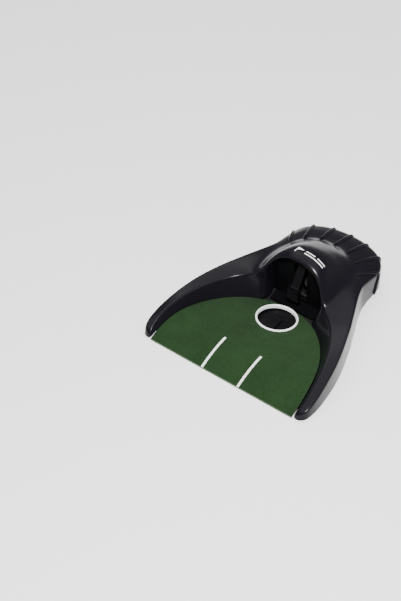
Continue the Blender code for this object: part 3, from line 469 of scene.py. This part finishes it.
# Hump rows from the hood's lip back: outer shoulder to centre line, and the foot of the skirt.
HUMP = [
    ([(84.0, 127.5, 35.3), (79.0, 127.2, 35.8), (54.0, 126.0, 36.2), (47.6, 126.4, 37.0),
      (41.4, 128.0, 42.0), (37.4, 132.0, 49.5), (30.4, 136.4, 60.0), (17.6, 138.6, 69.2),
      (0, 138.8, 72.8)], (84.6, 127.5)),
    ([(81.5, 132.5, 35.6), (76.7, 132.2, 36.2), (57.5, 131.5, 37.0), (50.4, 131.4, 38.6),
      (44.2, 132.6, 43.6), (40.0, 136.0, 51.4), (32.6, 140.2, 62.8), (18.8, 142.6, 72.6),
      (0, 142.8, 75.6)], (82.0, 132.5)),
    ([(74.8, 147.5, 36.5), (70.2, 147.4, 37.3), (58.0, 146.6, 38.7), (51.6, 146.2, 40.5),
      (45.4, 146.2, 45.0), (38.6, 146.8, 53.4), (29.8, 147.8, 66.2), (17.2, 148.8, 75.0),
      (0, 149.0, 77.0)], (75.3, 147.5)),
    ([(69.6, 158.5, 37.0), (65.2, 158.4, 37.9), (56.6, 158.0, 39.6), (50.4, 157.8, 41.6),
      (44.4, 157.6, 45.8), (37.0, 158.0, 53.0), (27.4, 158.6, 65.8), (15.6, 159.2, 74.4),
      (0, 159.4, 75.4)], (70.1, 158.5)),
    ([(64.3, 170.5, 37.0), (60.6, 170.4, 38.0), (54.4, 170.2, 39.9), (48.8, 170.2, 42.0),
      (43.2, 170.2, 45.6), (35.8, 170.6, 52.0), (26.6, 171.0, 62.0), (14.8, 171.6, 69.4),
      (0, 171.8, 70.8)], (64.8, 170.5)),
    ([(61.2, 179.5, 36.5), (58.0, 179.6, 37.8), (52.4, 180.4, 39.9), (46.6, 181.0, 41.8),
      (40.8, 182.0, 44.2), (34.2, 183.4, 49.0), (25.6, 184.6, 55.8), (14.4, 185.6, 61.4),
      (0, 185.8, 62.8)], (61.5, 179.5)),
    ([(60.2, 184.5, 36.0), (57.2, 185.0, 37.4), (51.0, 186.6, 40.0), (45.2, 188.6, 41.9),
      (39.2, 191.6, 43.8), (32.4, 195.2, 47.4), (23.8, 198.2, 50.8), (13.0, 199.8, 53.4),
      (0, 200.2, 54.2)], (60.1, 184.5)),
    ([(59.7, 190.0, 35.2), (56.9, 190.6, 36.9), (50.6, 192.4, 39.8), (43.6, 196.6, 41.8),
      (36.4, 202.0, 42.8), (28.6, 207.4, 43.2), (19.6, 210.8, 43.4), (10.0, 212.0, 43.5),
      (0, 212.2, 43.6)], (59.2, 190.0)),
    ([(59.6, 198.0, 34.0), (57.6, 199.6, 35.8), (53.6, 204.6, 37.5), (48.4, 212.6, 38.7),
      (41.0, 220.2, 39.3), (32.0, 226.2, 39.6), (21.6, 230.0, 39.8), (10.9, 231.8, 39.9),
      (0, 232.2, 39.9)], (57.8, 198.0)),
    ([(59.6, 203.2, 32.6), (58.8, 206.6, 33.2), (56.6, 213.4, 33.8), (52.0, 222.4, 34.8),
      (44.2, 230.8, 35.5), (34.0, 236.8, 35.9), (22.6, 240.6, 36.1), (11.3, 242.4, 36.1),
      (0, 242.8, 36.1)], (57.4, 203.2)),
    ([(59.4, 208.0, 31.0), (59.6, 213.6, 30.6), (58.5, 221.4, 31.0), (54.1, 230.4, 32.2),
      (46.0, 238.8, 32.9), (35.2, 244.6, 33.3), (23.2, 248.2, 33.5), (11.6, 250.0, 33.5),
      (0, 250.6, 33.5)], (57.2, 208.0)),
]
REAR_FEET = [(57.0, 213.6), (56.6, 221.8), (53.9, 230.2), (46.2, 238.4), (35.4, 244.0),
             (23.1, 247.7), (11.5, 249.9), (0, 250.6)]
HOOD_INSIDE = [
    ((39.0, 131.0, 39.5), (35.4, 137.5, 27.0), (33.0, STRIKE_BOX_Y, 9.0)),
    ((35.4, 135.0, 47.6), (34.6, 141.0, 42.0), (34.0, STRIKE_BOX_Y, 36.0)),
    ((28.6, 139.0, 57.4), (28.8, 143.6, 56.0), (29.0, STRIKE_BOX_Y, 54.4)),
    ((16.6, 141.4, 66.0), (16.7, 144.8, 64.8), (16.8, STRIKE_BOX_Y, 63.6)),
    ((0, 141.8, 69.2), (0, 145.0, 68.0), (0, STRIKE_BOX_Y, 66.8)),
]

# Raised ribs of the tail: where each starts below the hood and where it meets the shoulder.
RIBS = [((0, 208.6), (0, 251.0)), ((18.4, 207.6), (22.9, 248.6)), ((33.6, 198.4), (45.8, 240.0)),
        ((45.4, 188.4), (60.6, 220.0))]


def toward(start, end, distance):
    """A point a little way along from start, at most a third of the way."""
    start = Vector(start)
    way = Vector(end) - start
    return start + way * min(distance / way.length, 0.34)


def skirt_points(shoulder, foot):
    """From the foot of the outer wall up to just under its shoulder."""
    shoulder = Vector(shoulder)
    foot = Vector((*foot, SKIRT_Z))
    return [foot, foot.lerp(shoulder, 0.5), toward(shoulder, foot, 4.5)]


def bowl_points(crest, meeting_y):
    """From a crest down the inner wall to the felt."""
    foot = Vector((felt_half_width(meeting_y) + 1.4, meeting_y, felt_top(meeting_y) - 0.4))
    crest = Vector(crest)
    inward = (foot - crest).normalized()
    shelf = crest + Vector((inward.x * 3.0, inward.y * 3.0, -2.6))
    if crest.z - foot.z < 8:
        shelf = crest.lerp(foot, 0.35)
    return [shelf, shelf.lerp(foot, 0.55), foot]


def housing_cage():
    """Right half of the outer skin, bridged row by row."""
    bm = bmesh.new()

    def row(points):
        return [bm.verts.new(point) for point in points]

    def skin(first, second):
        """Bridge two rows that have as many points each."""
        edges = []
        for line in (first, second):
            edges += [bm.edges.get(pair) or bm.edges.new(pair) for pair in zip(line, line[1:])]
        bmesh.ops.bridge_loops(bm, edges=edges)

    top = []
    skirt = []
    bowl = []
    for shoulder, crest, foot, meeting_y in ARM:
        top.append(row([shoulder, toward(shoulder, crest, 5), toward(crest, shoulder, 4), crest]))
        skirt.append(row(skirt_points(shoulder, foot)))
        bowl.append(row(bowl_points(crest, meeting_y)))
    for points, foot in HUMP:
        top.append(row(points))
        skirt.append(row(skirt_points(points[0], foot)))
    for shoulder, foot in zip(HUMP[-1][0][1:], REAR_FEET):
        skirt.append(row(skirt_points(shoulder, foot)))
    bowl.append(row(bowl_points(HUMP[0][0][3], 124.0)))
    for points in HOOD_INSIDE:
        bowl.append(row(points))
    for first, second in zip(top, top[1:]):
        width = min(len(first), len(second))
        skin(first[:width], second[:width])
    edge = [line[0] for line in top] + top[-1][1:]
    for k in range(len(skirt) - 1):
        skin(skirt[k] + [edge[k]], skirt[k + 1] + [edge[k + 1]])
    lip = top[len(ARM)]
    rim = [line[3] for line in top[:len(ARM) + 1]] + lip[4:]
    for k in range(len(bowl) - 1):
        skin([rim[k]] + bowl[k], [rim[k + 1]] + bowl[k + 1])
    skin(skirt[0] + top[0][:1], [bowl[0][2], bowl[0][1], bowl[0][0], top[0][3]])
    bm.faces.new(top[0])
    bmesh.ops.recalc_face_normals(bm, faces=bm.faces)
    bm.normal_update()
    crown = max(bm.faces, key=lambda face: face.calc_center_median().z)
    if crown.normal.z < 0:
        bmesh.ops.reverse_faces(bm, faces=bm.faces)
    return bm


def build_shell():
    """Mirror, smooth and thicken the cage; returns its outer skin for the ribs to lie on."""
    cage = placed(housing_cage(), "shell_cage")
    mirror = cage.modifiers.new("mirror", "MIRROR")
    mirror.merge_threshold = 0.01
    smooth = cage.modifiers.new("smooth", "SUBSURF")
    smooth.levels = 3
    smooth.render_levels = 3
    skin = settled(cage, "shell_skin")
    bpy.data.objects.remove(cage)
    bm = bmesh.new()
    bm.from_mesh(skin)
    outer = BVHTree.FromBMesh(bm)
    bmesh.ops.solidify(bm, geom=bm.faces[:], thickness=WALL)
    bmesh.ops.recalc_face_normals(bm, faces=bm.faces)
    shell = piece_from(bm, "glossy_shell", PRINTED, slot="housing_black", sharp=60)
    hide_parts("upper_housing")
    return outer


def rib_route(outer, start, end):
    """Points and normals under a rib: over the band, round the shoulder and down the wall."""
    start = Vector((*start, 0))
    end = Vector((*end, 0))
    way = (end - start).normalized()
    above = Vector((0, 0, 120))
    rays = [(start.lerp(end - way * 2.5, k / 16) + above, -above) for k in range(17)]
    rays += [(end + Vector((0, 0, 30.0 - 2.1 * k)) + way * 30, -way) for k in range(14)]
    route = []
    for origin, direction in rays:
        hit, normal, _, _ = outer.ray_cast(origin, direction)
        if hit:
            route.append((hit, normal))
    return route


def add_rib(bm, route):
    """A round rod along the route that grows out of the skin and thins towards the floor."""
    curve = bpy.data.curves.new("rib", "CURVE")
    curve.dimensions = "3D"
    curve.bevel_depth = RIB_RADIUS
    curve.bevel_resolution = 4
    curve.use_fill_caps = True
    spline = curve.splines.new("NURBS")
    spline.points.add(len(route) - 1)
    for k, (point, (hit, normal)) in enumerate(zip(spline.points, route)):
        grow = min(1.0, 0.25 + k / 4)
        low = min(1.0, (hit.z - SKIRT_Z) / 3)
        lift = 0.35 * grow - 1.2 * (1 - grow)
        point.co = (*(hit + normal * lift), 1)
        point.radius = grow * (0.7 + 0.3 * low)
    spline.use_endpoint_u = True
    spline.order_u = 4
    spline.resolution_u = 4
    holder = bpy.data.objects.new("rib", curve)
    bpy.context.scene.collection.objects.link(holder)
    mesh = settled(holder, "rib")
    bm.from_mesh(mesh)
    bpy.data.objects.remove(holder)
    bpy.data.meshes.remove(mesh)


def build_ribs(outer):
    bm = bmesh.new()
    for start, end in RIBS:
        for side in ((1,) if start[0] == 0 else (1, -1)):
            add_rib(bm, rib_route(outer, (start[0] * side, start[1]), (end[0] * side, end[1])))
    tidy_skin(bm)
    piece_from(bm, "tail_ribs", GLOSS, slot="housing_black", sharp=60)


# ---------------------------------------------------------------- ramp and cup


def build_felt():
    bm = bmesh.new()
    bmesh.ops.create_grid(bm, x_segments=64, y_segments=72, size=1)
    for vert in bm.verts:
        swing = (vert.co.y + 1) / 2 * math.radians(88.5)
        y = FELT_DEPTH * math.sin(swing)
        x = vert.co.x * FELT_HALF_WIDTH * math.cos(swing)
        vert.co = (x, y, felt_top(y))
    under = bmesh.ops.extrude_face_region(bm, geom=bm.faces[:])["geom"]
    lower = [part for part in under if isinstance(part, bmesh.types.BMVert)]
    bmesh.ops.translate(bm, vec=(0, 0, -FELT_THICK), verts=lower)
    bmesh.ops.recalc_face_normals(bm, faces=bm.faces)
    punch = bmesh.new()
    bmesh.ops.create_cone(punch, cap_ends=True, segments=96, radius1=CUP_HOLE, radius2=CUP_HOLE,
                          depth=40)
    bmesh.ops.translate(punch, vec=(0, CUP_Y, 10), verts=punch.verts)
    bm = cut_away(placed(bm, "felt"), placed(punch, "punch"))
    for face in bm.faces:
        face.material_index = 1 if abs(face.normal.z) < 0.5 else 0
    felt = piece_from(bm, "ramp_felt", FELT, FELT_EDGE_HIGHLIGHT, slot="felt", sharp=40)
    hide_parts("putting_felt")


def build_ring():
    """The rounded white ring with a short sleeve down into the cup."""
    sleeve = RING_INNER + 0.7
    middle = (RING_OUTER + RING_INNER) / 2
    half = (RING_OUTER - RING_INNER) / 2
    profile = [(RING_OUTER, 0.0)]
    for k in range(9):
        turn = math.pi * k / 8
        profile.append((middle + half * math.cos(turn), 0.5 + 1.1 * math.sin(turn)))
    profile += [(RING_INNER, -2.6), (sleeve, -2.6), (sleeve, 0.0)]
    bm = turned(profile, 96, closed=True)
    settle = Matrix.Translation((0, CUP_Y, CUP_Z + 0.3)) @ Matrix.Rotation(CUP_TILT, 4, "X")
    bmesh.ops.transform(bm, matrix=settle, verts=bm.verts)
    ring = piece_from(bm, "white_cup_ring", WHITE, slot="white_plastic", sharp=50)
    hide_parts("cup_ring")


# ---------------------------------------------------------------- underside

FEET = [(-98, 28), (98, 28), (-41, 231), (41, 231)]
SCREWS = [(-92, 62), (92, 62), (-62, 150), (62, 150)]
FOOT_PROFILE = [(0, 1.0), (5.5, 1.0), (6.0, 0.8), (6.0, 0.3), (5.7, 0.0), (4.7, 0.0), (4.3, 0.25),
                (1.2, 0.25), (0.9, 0.05), (0, 0.05)]
SCREW_PROFILE = [(0, 13.0), (0.4, 12.2), (1.35, 9.5), (1.5, 9.0), (1.5, 1.0), (2.9, 1.0),
                 (3.0, 0.85), (2.6, 0.5), (1.6, 0.4), (0, 0.4)]
CROSS_BARS = [(3.2, 0.6, 1.0), (0.6, 3.2, 1.0)]


def build_feet():
    for number, (x, y) in enumerate(FEET, 1):
        bm = turned(FOOT_PROFILE, 40)
        bmesh.ops.translate(bm, vec=(x, y, 0), verts=bm.verts)
        foot = piece_from(bm, f"ringed_foot_{number}", RUBBER, slot="rubber", sharp=40)
        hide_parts(f"rubber_foot_{number}")


def build_screws():
    """Round-headed screws with a cross recess, each left at its own turn."""
    for number, (x, y) in enumerate(SCREWS, 1):
        cross = bmesh.new()
        for size in CROSS_BARS:
            made = bmesh.ops.create_cube(cross, size=1)
            bmesh.ops.scale(cross, vec=size, verts=made["verts"])
        bmesh.ops.translate(cross, vec=(0, 0, 0.4), verts=cross.verts)
        bm = cut_away(placed(turned(SCREW_PROFILE, 32), "screw"), placed(cross, "cross"), True)
        spin = Matrix.Rotation(0.4 * number, 3, "Z")
        bmesh.ops.rotate(bm, cent=(0, 0, 0), matrix=spin, verts=bm.verts)
        bmesh.ops.translate(bm, vec=(x, y, 0), verts=bm.verts)
        screw = piece_from(bm, f"cross_screw_{number}", STEEL, slot="steel", sharp=35)
        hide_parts(f"base_screw_{number}")


def block(bm, low, high, edge):
    """A block between two corners with all its edges rounded."""
    made = bmesh.ops.create_cube(bm, size=1)
    low, high = Vector(low), Vector(high)
    bmesh.ops.scale(bm, vec=high - low, verts=made["verts"])
    bmesh.ops.translate(bm, vec=(low + high) / 2, verts=made["verts"])
    edges = list({side for vert in made["verts"] for side in vert.link_edges})
    bmesh.ops.bevel(bm, geom=edges, offset=edge, segments=2, affect="EDGES", profile=0.5,
                    material=-1)


def build_door():
    """Battery door with a row of grip ridges and a low pad at each end."""
    bm = bmesh.new()
    block(bm, (-49.0, 191.6, 1.3), (49.0, 222.2, 2.9), 0.35)
    for k in range(6):
        y = 211.0 + 1.8 * k
        block(bm, (-13, y, 0.75), (13, y + 0.8, 1.5), 0.2)
    for side in (-1, 1):
        block(bm, (side * 38 - 6, 194.5, 0.95), (side * 38 + 6, 219.5, 1.45), 0.15)
    door = piece_from(bm, "gripped_door", TEXTURED, body="door", slot="matt_black", sharp=30)
    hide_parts("battery_door")


# ---------------------------------------------------------------- build

build_camera()
build_studio()
dress_nodes()
build_ribs(build_shell())
build_felt()
build_ring()
build_feet()
build_screws()
build_door()
